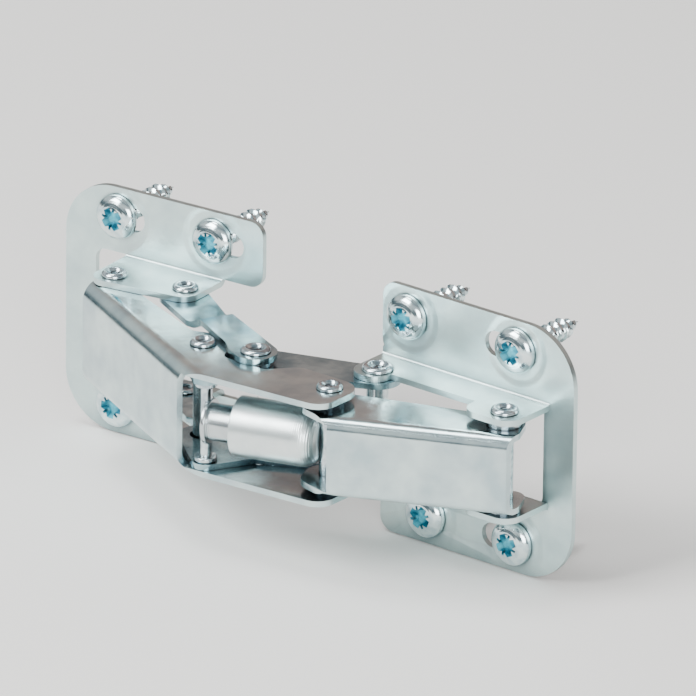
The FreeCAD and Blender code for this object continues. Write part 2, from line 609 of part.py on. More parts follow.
guide_length = (LINK_PIN - GUIDE_PIN).Length
guide_turn = heading(GUIDE_PIN, LINK_PIN)
wide, narrow, end_wide = size["guide_half_width"], size["guide_waist"], size["guide_end"]
step_start = size["joggle_start"]
step_end = step_start + size["joggle_length"]
crossing_local = FreeCAD.Placement(GUIDE_PIN, FreeCAD.Rotation(
    FreeCAD.Vector(0, 0, 1), guide_turn)).inverse().multVec(CROSSING_PIN)
scallop = size["crossing_head"] + 0.3
tip = guide_length + end_wide
later, earlier = size["joggle_inside"], size["joggle_outside"]
ease = size["joggle_rounding"]
around = 6.0  # frame of the trimming cut beyond the blank
hollow_back = 0.6  # deepest point of the hollow before the joggle
for name, sign in SIDES:
    guide = new_body("guide_link_" + name)
    profile = new_sketch(guide, "profile", "XZ_Plane")
    outline(profile, [(-wide, sign * ARM_BASE), (step_start + later, sign * ARM_BASE, ease),
                      (step_end + later, sign * FLANGE_BASE, ease), (tip, sign * FLANGE_BASE),
                      (tip, sign * FLANGE_TOP), (step_end - earlier, sign * FLANGE_TOP, ease),
                      (step_start - earlier, sign * ARM_TOP, ease), (-wide, sign * ARM_TOP)])
    pad(guide, profile, "2 * Sizes.guide_half_width + 2", symmetric=True)
    trim = new_sketch(guide, "trim")
    outline(trim, [(-wide, -wide, wide - 0.1),
                   (step_start - 1.0, -wide, 1.2),
                   (step_start + 1.2, -narrow, 1.0),
                   (crossing_local.x + scallop + 0.8, -narrow, 1.0),
                   (guide_length - 2.6, -end_wide, 1.2),
                   (tip, -end_wide, end_wide - 0.1), (tip, end_wide, end_wide - 0.1),
                   (step_start - hollow_back, size["guide_hollow"], size["hollow_radius"]),
                   (-wide, wide, wide - 0.5)])
    outline(trim, [(-wide - around, -wide - around), (tip + around, -wide - around),
                   (tip + around, wide + around), (-wide - around, wide + around)])
    cut_through(guide, trim)
    bores = new_sketch(guide, "bores")
    circle(bores, FreeCAD.Vector(0, 0, 0), "Sizes.pin_radius + Sizes.running_fit")
    circle(bores, FreeCAD.Vector(guide_length, 0, 0), "Sizes.link_pin_radius")
    cut_through(guide, bores)
    place_at(guide, "guide_pin", angle=guide_turn)


# Pins and rivets: turned shanks with spun heads, each head with a shallow hollow

def head(radius, level, height, sign):
    """Half profile of a spun head on a face at a level, from its rim to the axis."""
    crown = level + sign * height
    return [(radius, level), (radius, crown, height * 0.7), (radius * 0.45, crown),
            (radius * 0.3, crown - sign * height * 0.3), (0, crown - sign * height * 0.3)]


def rivet(label, pin, shank, low, low_head, high, high_head):
    """A rivet along Z between two levels; a head is (radius, height) or None for a flush end."""
    body = new_body(label)
    sketch = new_sketch(body, "half", "XZ_Plane")
    below = head(low_head[0], low, low_head[1], -1) if low_head else [(0, low)]
    above = head(high_head[0], high, high_head[1], 1) if high_head else [(0, high)]
    outline(sketch, list(reversed(below)) + [(shank, low), (shank, high)] + above)
    turn(body, sketch, "V_Axis")
    place_at(body, pin)
    return body


tall = size["head_height"]
for label, pin, shank, level, radius in (
        ("door_arm_pin", "door_pin", "pin_radius", FLANGE_TOP, "small_head"),
        ("crossing_pin", "crossing_pin", "pin_radius", ARM_TOP, "crossing_head"),
        ("arm_joint_pin", "joint_pin", "pin_radius", ARM_TOP, "small_head"),
        ("lever_pin", "lever_pin", "lever_pin_radius", ARM_TOP, "lever_head"),
        ("cover_pin", "cover_pin", "pin_radius", ARM_TOP, "cover_head")):
    rivet(label, pin, size[shank], -level, (size[radius], tall), level, (size[radius], tall))

inner_tall = size["inner_head_height"]
for name, sign in SIDES:
    for label, pin, shank, inside, inside_radius, outside_radius in (
            ("guide_rivet_", "guide_pin", "pin_radius", ARM_BASE - gap, "small_head", "small_head"),
            ("link_rivet_", "link_pin", "link_pin_radius", LEVER_BASE - gap, "inner_head",
             "link_head")):
        levels = [(inside, (size[inside_radius], inner_tall)),
                  (FLANGE_TOP, (size[outside_radius], tall))]
        if sign < 0:
            levels = [(-level, flat) for level, flat in reversed(levels)]
        (low, low_head), (high, high_head) = levels
        rivet(label + name, pin, size[shank], low, low_head, high, high_head)

# Spring pin: flush in the two levers, with a collar inside each
spring_pin = new_body("spring_pin")
half_pin = new_sketch(spring_pin, "half", "XZ_Plane")
shank, collar = size["spring_pin_radius"], size["collar_radius"]
collar_low = LEVER_BASE - size["collar_height"]
outline(half_pin, [(0, -LEVER_TOP), (shank, -LEVER_TOP), (shank, -LEVER_BASE),
                   (collar, -LEVER_BASE, 0.2), (collar, -collar_low, 0.2), (shank, -collar_low),
                   (shank, collar_low), (collar, collar_low, 0.2), (collar, LEVER_BASE, 0.2),
                   (shank, LEVER_BASE), (shank, LEVER_TOP), (0, LEVER_TOP)])
turn(spring_pin, half_pin, "V_Axis")
place_at(spring_pin, "spring_pin")


# Spacers: plain rings on the pins between sheets that are a level or two apart

def spacer(label, pin, bore, rim, low, high):
    """A ring about a pin, from one level to another."""
    body = new_body(label)
    sketch = new_sketch(body, "ring", "XY_Plane", "%.6f" % low)
    centre = FreeCAD.Vector(0, 0, 0)
    circle(sketch, centre, "Sizes." + rim)
    circle(sketch, centre, "Sizes." + bore)
    pad(body, sketch, "%.6f" % (high - low))
    place_at(body, pin)


for name, sign in SIDES:
    for label, pin, bore, rim, low, high in (
            ("cover_spacer_", "cover_pin", "pin_radius", "spacer_radius",
             COVER_TOP + gap, ARM_BASE),
            ("link_spacer_", "link_pin", "link_pin_radius", "spacer_radius",
             LEVER_TOP + gap, FLANGE_BASE),
            ("joint_spacer_", "joint_pin", "pin_radius", "joint_spacer_radius",
             COVER_TOP + gap, ARM_BASE)):
        bounds = (low, high) if sign > 0 else (-high, -low)
        spacer(label + name, pin, bore, rim, *bounds)


# Spring unit: a barrel that bears on the joint pin, a plunger that bears on the spring pin,
# and a compression spring inside both

unit_length = (JOINT_PIN - SPRING_PIN).Length
unit_turn = heading(SPRING_PIN, JOINT_PIN)
fit = size["running_fit"]

barrel = new_body("spring_barrel")
shell = new_sketch(barrel, "shell", "XZ_Plane")
outer, inner = size["barrel_radius"], size["barrel_radius"] - size["barrel_wall"]
saddle = size["pin_radius"] + fit
floor = saddle + size["barrel_floor"]
nose = size["barrel_nose"]
swell = nose + size["barrel_shoulder"]
mouth = size["barrel_length"]
lip = size["rolled_edge"]
outline(shell, [(nose, 0), (nose, outer - size["shoulder_swell"], size["dome_radius"]),
                (swell, outer, size["shoulder_radius"]),
                (mouth, outer, lip), (mouth, inner, lip),
                (floor, inner, size["dome_radius"] - size["barrel_wall"]), (floor, 0)])
turn(barrel, shell, "H_Axis")
barrel_seat = new_sketch(barrel, "saddle")
circle(barrel_seat, FreeCAD.Vector(0, 0, 0), "Sizes.pin_radius + Sizes.running_fit")
cut_through(barrel, barrel_seat)
place_at(barrel, "joint_pin", angle=unit_turn + 180)

plunger = new_body("spring_plunger")
cup = new_sketch(plunger, "cup", "XZ_Plane")
outer, inner = size["plunger_radius"], size["plunger_radius"] - size["plunger_wall"]
saddle = size["spring_pin_radius"] + fit
nose = size["plunger_nose"]
rim_back = nose + size["plunger_floor"]
head_back = saddle + size["plunger_floor"]
open_end = size["plunger_length"]
outline(cup, [(nose, 0), (nose, size["plunger_rim"], lip), (rim_back, size["plunger_rim"], lip),
              (rim_back, outer), (open_end, outer, 0.2), (open_end, inner, 0.2),
              (head_back, inner, 0.5), (head_back, 0)])
turn(plunger, cup, "H_Axis")
plunger_seat = new_sketch(plunger, "saddle")
circle(plunger_seat, FreeCAD.Vector(0, 0, 0), "Sizes.spring_pin_radius + Sizes.running_fit")
cut_through(plunger, plunger_seat)
place_at(plunger, "spring_pin", angle=unit_turn)

wire = size["spring_wire"]
coil_radius = inner - size["spring_play"] - wire / 2
coil_start = head_back + wire / 2
coil_end = unit_length - floor - size["spring_end_gap"] - wire / 2
pitch = (coil_end - coil_start) / size["spring_turns"]
helix = Part.makeHelix(pitch, coil_end - coil_start, coil_radius)
ring = Part.Wire(Part.Circle(FreeCAD.Vector(coil_radius, 0, 0), FreeCAD.Vector(0, 1, 0),
                             wire / 2).toShape())
coil = Part.Wire(helix.Edges).makePipeShell([ring], True, True)
spring = doc.addObject("Part::Feature", "compression_spring")
spring.Label = "compression_spring"
spring.Shape = coil
along_unit = FreeCAD.Rotation(FreeCAD.Vector(0, 0, 1), JOINT_PIN - SPRING_PIN)
spring.Placement = FreeCAD.Placement(
    SPRING_PIN + (JOINT_PIN - SPRING_PIN).normalize() * coil_start, along_unit)
pieces.append(spring)


# Wood screws: pan heads with a cross recess, a plain cone at the tip

def screw(label, place, turned):
    """A screw with its head on the plate's face; place is on the plate's back face."""
    body = new_body(label)
    half = new_sketch(body, "half", "XZ_Plane")
    thread, big, high = size["screw_thread"], size["screw_head"], size["screw_head_height"]
    length = size["screw_length"]
    outline(half, [(0, -length), (thread, -length + size["screw_tip"]), (thread, -metal),
                   (size["screw_neck"], -metal), (size["screw_neck"], 0), (big, 0),
                   (big, high, high * 0.72), (0, high)])
    turn(body, half, "V_Axis")
    arm, reach = size["recess_width"] / 2, size["recess_span"] / 2
    recess = new_sketch(body, "recess", "XY_Plane", "Sizes.screw_head_height")
    corners = []
    for x_sign, y_sign, swap in ((1, 1, False), (1, 1, True), (-1, 1, True), (-1, 1, False),
                                 (-1, -1, False), (-1, -1, True), (1, -1, True), (1, -1, False)):
        across, upward = (arm, reach) if swap else (reach, arm)
        corners.append((x_sign * across, y_sign * upward))
    cross = []
    for i, corner in enumerate(corners):
        cross.append(corner)
        if i % 2 == 0:
            x_sign = 1 if corner[0] > 0 else -1
            y_sign = 1 if corner[1] > 0 else -1
            cross.append((x_sign * arm, y_sign * arm))
    outline(recess, cross)
    cut(body, recess, "Sizes.recess_depth")
    upright = FreeCAD.Rotation(FreeCAD.Vector(1, 0, 0), 90)
    twist = FreeCAD.Rotation(FreeCAD.Vector(0, 0, 1), turned)
    body.Placement = FreeCAD.Placement(place, door_turn.multiply(upright).multiply(twist)
                                       if label.startswith("door")
                                       else upright.multiply(twist))
    return body


front = FreeCAD.Vector(0, -metal, 0)
twists = (12, 38, 65, 25)
door_twist = 20  # degrees further round than the cabinet's screws
cabinet_spots = [(size["cabinet_screw_upper"], row), (size["cabinet_screw_far"], row),
                 (size["cabinet_screw_lower"], -row), (size["cabinet_screw_far"], -row)]
door_spots = [(size["door_screw_near"], row), (size["door_screw_far"], row),
              (size["door_screw_near"], -row), (size["door_screw_far"], -row)]
for number, ((x, z), twist) in enumerate(zip(cabinet_spots, twists), start=1):
    screw("cabinet_screw_%d" % number, FreeCAD.Vector(x, 0, z) + front, twist)
for number, ((x, z), twist) in enumerate(zip(door_spots, twists), start=1):
    screw("door_screw_%d" % number, door_place.multVec(FreeCAD.Vector(x, 0, z) + front),
          twist + door_twist)

doc.recompute()
failed = [o.Label for o in doc.Objects if "Invalid" in o.State or "Error" in o.State]
if failed:
    raise RuntimeError("failed objects: " + ", ".join(failed))
for piece in pieces:
    shape = piece.Shape
    if shape.isNull() or not shape.isValid() or not shape.Solids:
        raise RuntimeError("bad shape: " + piece.Label)
for piece in pieces:
    piece.Shape.exportStep("parts/%s.step" % piece.Label)
    box = piece.Shape.BoundBox
    print("%-24s %8.1f mm3  x %6.1f..%6.1f  y %6.1f..%6.1f  z %6.1f..%6.1f  solids %d" % (
        piece.Label, piece.Shape.Volume, box.XMin, box.XMax, box.YMin, box.YMax, box.ZMin,
        box.ZMax, len(piece.Shape.Solids)))
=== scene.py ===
"""Looks of a seven-pin spring hinge: zinc-plated sheet links, spun rivets, a spring in a barrel."""
import math

import bmesh
import bpy
from mathutils import Matrix, Vector


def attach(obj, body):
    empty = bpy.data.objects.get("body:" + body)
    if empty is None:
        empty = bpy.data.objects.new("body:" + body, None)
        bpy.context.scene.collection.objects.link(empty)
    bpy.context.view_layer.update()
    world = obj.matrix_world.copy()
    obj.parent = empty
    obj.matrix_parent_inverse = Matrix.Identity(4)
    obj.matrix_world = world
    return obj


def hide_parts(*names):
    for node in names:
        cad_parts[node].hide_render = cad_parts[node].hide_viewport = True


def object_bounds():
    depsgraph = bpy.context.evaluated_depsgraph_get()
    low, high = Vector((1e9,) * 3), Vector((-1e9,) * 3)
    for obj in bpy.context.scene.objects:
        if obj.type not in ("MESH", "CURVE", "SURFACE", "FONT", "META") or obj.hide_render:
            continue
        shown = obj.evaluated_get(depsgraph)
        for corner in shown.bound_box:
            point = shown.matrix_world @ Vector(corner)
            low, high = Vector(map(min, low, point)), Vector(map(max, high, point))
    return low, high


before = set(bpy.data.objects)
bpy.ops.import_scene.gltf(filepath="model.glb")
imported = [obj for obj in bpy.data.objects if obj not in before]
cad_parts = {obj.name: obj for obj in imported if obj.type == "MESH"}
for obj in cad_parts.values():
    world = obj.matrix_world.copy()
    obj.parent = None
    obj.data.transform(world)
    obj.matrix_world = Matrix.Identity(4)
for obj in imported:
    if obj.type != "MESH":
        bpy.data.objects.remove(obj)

cad_box = [list(corner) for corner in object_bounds()]

# Camera: a long lens about two metres away, to the right of the hinge and above it, held with
# less than a degree of tilt, as the photograph was taken.
AZIMUTH = math.radians(38.6)
ELEVATION = math.radians(22.2)
TILT = 0.012
DISTANCE = 2.0
PIXELS_PER_METRE = 6200.0
PICTURE_WIDTH = 696
AIM = Vector((-0.03796, -0.00773, 0.01144))

back = Vector((math.sin(AZIMUTH) * math.cos(ELEVATION), -math.cos(AZIMUTH) * math.cos(ELEVATION),
               math.sin(ELEVATION)))
level_right = Vector((math.cos(AZIMUTH), math.sin(AZIMUTH), 0.0))
level_up = back.cross(level_right)
right = (level_right + level_up * TILT).normalized()
up = (level_up - level_right * TILT).normalized()
camera = bpy.data.objects.new("camera", bpy.data.cameras.new("camera"))
bpy.context.scene.collection.objects.link(camera)
camera.matrix_world = Matrix.Translation(AIM + back * DISTANCE) @ Matrix(
    (right, up, back)).transposed().to_4x4()
camera.data.lens = PIXELS_PER_METRE * DISTANCE * camera.data.sensor_width / PICTURE_WIDTH
camera.data.clip_start = 0.1
camera.data.clip_end = 20.0
bpy.context.scene.camera = camera


# Screw plates: two C-shaped blanks of 1 mm cold-rolled strip, pierced, their window edges folded
# up into the flanges that carry the pins, then zinc plated. The coat is bright and slightly blue,
# with fine rolling lines under it, and the press left shallow rings round the screw seats.

def linear(hex_colour):
    """An sRGB hex colour as linear RGBA."""
    channels = [int(hex_colour[i:i + 2], 16) / 255 for i in (0, 2, 4)]
    return [c / 12.92 if c <= 0.04045 else ((c + 0.055) / 1.055) ** 2.4 for c in channels] + [1.0]


def add(material, kind, links=None, **settings):
    """A node with its settings; links maps a socket to a value or to another node's socket."""
    made = material.node_tree.nodes.new(kind)
    for key, value in settings.items():
        setattr(made, key, value)
    for socket, value in (links or {}).items():
        if isinstance(value, bpy.types.NodeSocket):
            material.node_tree.links.new(value, made.inputs[socket])
        else:
            made.inputs[socket].default_value = value
    return made


def painted_corner_shade(material, colour, within):
    """A coat's colour with painted shade, dulled to blue-grey in corners and recesses where other
    surfaces close round it.
    """
    corner = add(material, "ShaderNodeAmbientOcclusion", {"Distance": within}, samples=8)
    shade = add(material, "ShaderNodeMapRange", {"Value": corner.outputs["AO"], "From Min": 0.15,
                                                 "From Max": 0.8, "To Min": 0.85, "To Max": 0.0})
    return add(material, "ShaderNodeMixRGB", {"Fac": shade.outputs["Result"], "Color1": colour,
                                              "Color2": linear("2C3F4C")}).outputs["Color"]


def zinc_sheet(name, pale, deep, rolling, roughness, seats=()):
    """Bright zinc on rolled strip; rolling scales the strip's fine lines, seats are pressed rings."""
    material = bpy.data.materials.new(name)
    material.use_nodes = True
    material.node_tree.nodes.clear()
    place = add(material, "ShaderNodeTexCoord")
    # Clouds of the coat, about 6 mm across
    clouds = add(material, "ShaderNodeTexNoise", {"Vector": place.outputs["Object"], "Scale": 160.0,
                                                  "Detail": 3.0, "Roughness": 0.55})
    tint = add(material, "ShaderNodeValToRGB", {"Fac": clouds.outputs["Fac"]})
    tint.color_ramp.elements[0].position = 0.32
    tint.color_ramp.elements[0].color = linear(deep)
    tint.color_ramp.elements[1].position = 0.68
    tint.color_ramp.elements[1].color = linear(pale)
    # Rolling lines, drawn 0.12 mm apart so that they show, stretched along the strip
    stretched = add(material, "ShaderNodeMapping", {"Vector": place.outputs["Object"],
                                                    "Scale": rolling})
    lines = add(material, "ShaderNodeTexNoise", {"Vector": stretched.outputs["Vector"],
                                                 "Scale": 1.0, "Detail": 4.0, "Roughness": 0.6})
    worn = add(material, "ShaderNodeMapRange", {"Value": lines.outputs["Fac"], "From Min": 0.3,
                                                "From Max": 0.7, "To Min": roughness - 0.05,
                                                "To Max": roughness + 0.09})
    # Orange-peel of the coat, about 0.8 mm across
    peel = add(material, "ShaderNodeTexNoise", {"Vector": place.outputs["Object"], "Scale": 1250.0,
                                                "Detail": 2.0})
    relief = add(material, "ShaderNodeMath", {0: lines.outputs["Fac"], 1: peel.outputs["Fac"]},
                 operation="ADD")
    bump = add(material, "ShaderNodeBump", {"Height": relief.outputs["Value"], "Strength": 0.10,
                                            "Distance": 0.00005})
    # Each seat sinks by 0.15 mm over a ring from 6.4 to 4.9 mm round its screw
    for seat in seats:
        away = add(material, "ShaderNodeVectorMath", {0: place.outputs["Object"], 1: seat},
                   operation="DISTANCE")
        dish = add(material, "ShaderNodeMapRange", {"Value": away.outputs["Value"],
                                                    "From Min": 0.0049, "From Max": 0.0064},
                   interpolation_type="SMOOTHSTEP")
        bump = add(material, "ShaderNodeBump", {"Height": dish.outputs["Result"], "Strength": 1.0,
                                                "Distance": 0.00015,
                                                "Normal": bump.outputs["Normal"]})
    # Painted shade: the tint is dulled to blue-grey in corners, folds and under neighbouring parts,
    # within 6 mm
    shader = add(material, "ShaderNodeBsdfPrincipled", {
        "Base Color": painted_corner_shade(material, tint.outputs["Color"], 0.006),
        "Roughness": worn.outputs["Result"], "Normal": bump.outputs["Normal"], "Metallic": 1.0})
    add(material, "ShaderNodeOutputMaterial", {"Surface": shader.outputs["BSDF"]})
    return material


def dress(piece, material, soft_edge):
    """Smooth bends, a broken edge and a real finish for one sheet or turned piece."""
    piece.data.materials.clear()
    piece.data.materials.append(material)
    piece.data.shade_smooth()
    piece.data.set_sharp_from_angle(angle=math.radians(32))
    if soft_edge:
        edge = piece.modifiers.new("broken_edge", "BEVEL")
        edge.width = soft_edge
        edge.segments = 2
        edge.limit_method = "ANGLE"
        edge.angle_limit = math.radians(50)
        edge.harden_normals = True


def finish_node(node, material, soft_edge=0.00016):
    """A CAD node keeps its shape under its finish."""
    dress(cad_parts[node], material, soft_edge)


def show(name, mesh, material, matrix, body, slot, *nodes):
    """A new piece in its place on a body, in the stead of CAD nodes."""
    piece = bpy.data.objects.new(name, mesh)
    bpy.context.scene.collection.objects.link(piece)
    if material is not None:
        mesh.materials.clear()
        mesh.materials.append(material)
    piece.matrix_world = matrix
    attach(piece, body)
    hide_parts(*nodes)
    return piece


def evaluated_mesh(piece, *helpers):
    """The mesh that a piece's modifiers make; the piece and its helpers are then removed."""
    bpy.context.view_layer.update()
    made = bpy.data.meshes.new_from_object(
        piece.evaluated_get(bpy.context.evaluated_depsgraph_get()))
    for spent in (piece, *helpers):
        bpy.data.objects.remove(spent)
    return made


DOOR_TURN = math.radians(5.0)
door_out = Vector((math.sin(DOOR_TURN), -math.cos(DOOR_TURN), 0.0))
cabinet_out = Vector((0.0, -1.0, 0.0))
door_along = Vector((math.cos(DOOR_TURN), math.sin(DOOR_TURN), 0.0))
DOOR_CORNER = Vector((-105.17, 2.49, 0.0))
STRIP, SCREW_ROW = 1.0, 16.7
# Columns and rows of the screws, each with the turn of its recess in degrees
CABINET_SCREWS = ((-31.0, SCREW_ROW, 12), (-8.8, SCREW_ROW, 38),
                  (-26.6, -SCREW_ROW, 65), (-8.8, -SCREW_ROW, 25))
DOOR_SCREWS = ((10.4, SCREW_ROW, 32), (29.5, SCREW_ROW, 58),
               (10.4, -SCREW_ROW, 85), (29.5, -SCREW_ROW, 45))
# Body, node, place on the plate's front face, the way the head faces, turn of the recess
screw_places = []
for number, (x, z, turned) in enumerate(CABINET_SCREWS, 1):
    screw_places.append(("cabinet_side", "cabinet_screw_%d" % number,
                         Vector((x, -STRIP, z)) / 1000, cabinet_out, turned))
for number, (x, z, turned) in enumerate(DOOR_SCREWS, 1):
    spot = DOOR_CORNER + door_along * x + door_out * STRIP
    screw_places.append(("door_side", "door_screw_%d" % number,
                         Vector((spot.x, spot.y, z)) / 1000, door_out, turned))

plate_zinc = zinc_sheet("zinc_plated_strip", "D6E8E6", "BFD4D5", (300.0, 300.0, 8000.0), 0.33,
                        [place for body, node, place, out, turned in screw_places])
finish_node("door_plate", plate_zinc)

# The cabinet plate's two flanges run on between their ears with a land 7.2 mm deep, fused on here
LAND_X, LAND_Y, LAND_Z = (-30.6, -11.2), (-7.2, -3.9), (7.97, 8.97)
land_corners = [(LAND_X[0], LAND_Y[0]), (LAND_X[1], LAND_Y[0]),
                (LAND_X[1], LAND_Y[1]), (LAND_X[0], LAND_Y[1])]
flanged = bpy.data.objects.new("flanged_plate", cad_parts["cabinet_plate"].data.copy())
bpy.context.scene.collection.objects.link(flanged)
lands = []
for side in (1, -1):
    land_work = bmesh.new()
    blank_face = land_work.faces.new([
        land_work.verts.new((x / 1000, y / 1000, side * LAND_Z[0] / 1000)) for x, y in land_corners])
    raised = bmesh.ops.extrude_face_region(land_work, geom=[blank_face])["geom"]
    for corner in [part for part in raised if isinstance(part, bmesh.types.BMVert)]:
        corner.co.z = side * LAND_Z[1] / 1000
    bmesh.ops.recalc_face_normals(land_work, faces=land_work.faces)
    land_mesh = bpy.data.meshes.new("flange_land")
    land_work.to_mesh(land_mesh)
    land_work.free()
    land = bpy.data.objects.new("flange_land", land_mesh)
    bpy.context.scene.collection.objects.link(land)
    fuse = flanged.modifiers.new("fused_land", "BOOLEAN")
    fuse.object = land
    fuse.operation = "UNION"
    fuse.solver = "EXACT"
    lands.append(land)
pressed = show("pressed_cabinet_plate", evaluated_mesh(flanged, *lands), plate_zinc,
               Matrix.Identity(4), "cabinet_side", "zinc_sheet", "cabinet_plate")
dress(pressed, plate_zinc, 0.00016)


# Links: the long arm and the cover are folded channels, the crossing levers and the guide links
# flat blanks beside them. They are barrel plated after pressing, so the coat is a little glossier
# than on the plates, and their edges are rounded by the tumbling.

link_zinc = zinc_sheet("barrel_plated_link", "D4E5E4", "B2C6CB", (400.0, 400.0, 9000.0), 0.18)
for link_node in ("long_arm", "cover_link"):
    finish_node(link_node, link_zinc, 0.0002)
lever_zinc = zinc_sheet("barrel_plated_lever", "C0DADD", "7093A0", (9000.0, 400.0, 400.0), 0.18)
for link_node in ("crossing_lever_upper", "crossing_lever_lower", "guide_link_upper",
                  "guide_link_lower"):
    finish_node(link_node, lever_zinc, 0.0002)


# Pins and rivets: cold-headed steel, their ends spun down by an orbiting punch that leaves a
# raised ring, a groove inside it and a small boss in the middle. The punch burnishes the zinc.

def spun_steel(name, pale, groove, roughness, dark_within=0.0):
    """Zinc on turned or spun steel; painted shade darkens the hollow middle of a head out to
    dark_within from its axis.
    """
    material = bpy.data.materials.new(name)
    material.use_nodes = True
    material.node_tree.nodes.clear()
    place = add(material, "ShaderNodeTexCoord")
    # Spots where the coat is thin, about 1.5 mm across
    spots = add(material, "ShaderNodeTexNoise", {"Vector": place.outputs["Object"], "Scale": 650.0,
                                                 "Detail": 3.0})
    tint = add(material, "ShaderNodeValToRGB", {"Fac": spots.outputs["Fac"]})
    tint.color_ramp.elements[0].position = 0.35
    tint.color_ramp.elements[0].color = linear(groove)
    tint.color_ramp.elements[1].position = 0.6
    tint.color_ramp.elements[1].color = linear(pale)
    # Tool rings 0.5 mm apart: the wave repeats every 2 pi / (20 x scale)
    rings = add(material, "ShaderNodeTexWave", {"Vector": place.outputs["Object"], "Scale": 630.0,
                                                "Distortion": 1.5, "Detail": 1.0},
                wave_type="RINGS", rings_direction="Z")
    bump = add(material, "ShaderNodeBump", {"Height": rings.outputs["Fac"], "Strength": 0.25,
                                            "Distance": 0.00003})
    worn = add(material, "ShaderNodeMapRange", {"Value": spots.outputs["Fac"],
                                                "To Min": roughness + 0.1, "To Max": roughness})
    colour = tint.outputs["Color"]
    # Painted shade: the middle of a spun head, its boss and the inside of its groove, is mixed
    # towards dark blue-grey
    if dark_within:
        across = add(material, "ShaderNodeVectorMath", {0: place.outputs["Object"],
                                                        1: (1.0, 1.0, 0.0)}, operation="MULTIPLY")
        reach = add(material, "ShaderNodeVectorMath", {0: across.outputs["Vector"]},
                    operation="LENGTH")
        painted_middle_shade = add(material, "ShaderNodeMapRange", {
            "Value": reach.outputs["Value"], "From Min": dark_within * 0.8,
            "From Max": dark_within, "To Min": 0.75, "To Max": 0.0})
        colour = add(material, "ShaderNodeMixRGB", {"Fac": painted_middle_shade.outputs["Result"], "Color1": colour,
                                                    "Color2": linear("38454E")}).outputs["Color"]
    # Painted shade: the colour is dulled to blue-grey in corners and under neighbouring parts, within
    # 1.5 mm
    shader = add(material, "ShaderNodeBsdfPrincipled", {
        "Base Color": painted_corner_shade(material, colour, 0.0015), "Roughness": worn.outputs["Result"],
        "Normal": bump.outputs["Normal"], "Metallic": 1.0})
    add(material, "ShaderNodeOutputMaterial", {"Surface": shader.outputs["BSDF"]})
    return material


def lathe(profile, steps=56):
    """A mesh turned about Z from (radius, height) points in millimetres, its ends closed."""
    work = bmesh.new()
    rows = []
    for radius, height in profile:
        if radius < 1e-6:
            rows.append([work.verts.new((0, 0, height / 1000))])
        else:
            rows.append([work.verts.new((radius / 1000 * math.cos(2 * math.pi * i / steps),
                                         radius / 1000 * math.sin(2 * math.pi * i / steps),
                                         height / 1000)) for i in range(steps)])
    for low, high in zip(rows, rows[1:]):
        for i in range(steps):
            j = (i + 1) % steps
            if len(low) == 1:
                work.faces.new((low[0], high[j], high[i]))
            elif len(high) == 1:
                work.faces.new((low[i], low[j], high[0]))
            else:
                work.faces.new((low[i], low[j], high[j], high[i]))
    bmesh.ops.recalc_face_normals(work, faces=work.faces)
    mesh = bpy.data.meshes.new("turned")
    work.to_mesh(mesh)
    work.free()
    mesh.shade_smooth()
    mesh.set_sharp_from_angle(angle=math.radians(40))
    return mesh


def spun_head(radius, height):
    """Half profile of a spun head from its rim to the middle, above its seat."""
    return [(radius * 0.93, 0.0), (radius, 0.14 * height), (radius, 0.42 * height),
            (radius * 0.95, 0.66 * height), (radius * 0.86, 0.86 * height),
            (radius * 0.76, 0.98 * height), (radius * 0.68, height), (radius * 0.61, 0.93 * height),
            (radius * 0.53, 0.58 * height), (radius * 0.45, 0.32 * height),
            (radius * 0.33, 0.30 * height), (radius * 0.24, 0.50 * height),
            (radius * 0.12, 0.62 * height), (0.0, 0.65 * height)]


# The rivets' heads get painted shade in their middles, out to 1.2 mm from the axis
rivet_zinc = spun_steel("spun_rivet_zinc", "DCE6E8", "A3B2BA", 0.14, 0.0012)
# Levels above the middle: under the levers, under the arm, on the arm and on the door's flange
LEVER_IN, ARM_IN, ARM_OUT, FLANGE_OUT = 6.85, 7.91, 8.97, 10.03
PIN_HEAD, LEVER_PIN_HEAD, COVER_PIN_HEAD = (2.15, 0.9), (2.6, 0.9), (2.3, 0.9)
GUIDE_HEAD, LINK_HEAD, GUIDE_FOOT, LINK_FOOT = (2.15, 0.8), (2.5, 0.75), (2.1, 0.6), (3.3, 0.6)
# Name, body, x, y, shank radius, level and head (radius, height) below, level and head above
pins = [
    ("door_arm_pin", "door_side", -89.02, -5.3, 1.6, -FLANGE_OUT, PIN_HEAD, FLANGE_OUT, PIN_HEAD),
    ("crossing_pin", "arm", -60.78, -16.75, 1.6, -ARM_OUT, PIN_HEAD, ARM_OUT, PIN_HEAD),
    ("arm_joint_pin", "arm", -33.25, -18.23, 1.6, -ARM_OUT, PIN_HEAD, ARM_OUT, PIN_HEAD),
    ("lever_pin", "cabinet_side", -32.41, -6.93, 1.8,
     -ARM_OUT, LEVER_PIN_HEAD, ARM_OUT, LEVER_PIN_HEAD),
    ("cover_pin", "cabinet_side", -5.72, -7.79, 1.6,
     -ARM_OUT, COVER_PIN_HEAD, ARM_OUT, COVER_PIN_HEAD),
    ("guide_rivet_upper", "door_side", -76.55, -2.18, 1.6,
     ARM_IN, GUIDE_FOOT, FLANGE_OUT, GUIDE_HEAD),
    ("guide_rivet_lower", "door_side", -76.55, -2.18, 1.6,
     -FLANGE_OUT, GUIDE_HEAD, -ARM_IN, GUIDE_FOOT),
    ("link_rivet_upper", "guide", -50.69, -15.67, 1.5, LEVER_IN, LINK_FOOT, FLANGE_OUT, LINK_HEAD),
    ("link_rivet_lower", "guide", -50.69, -15.67, 1.5,
     -FLANGE_OUT, LINK_HEAD, -LEVER_IN, LINK_FOOT),
]
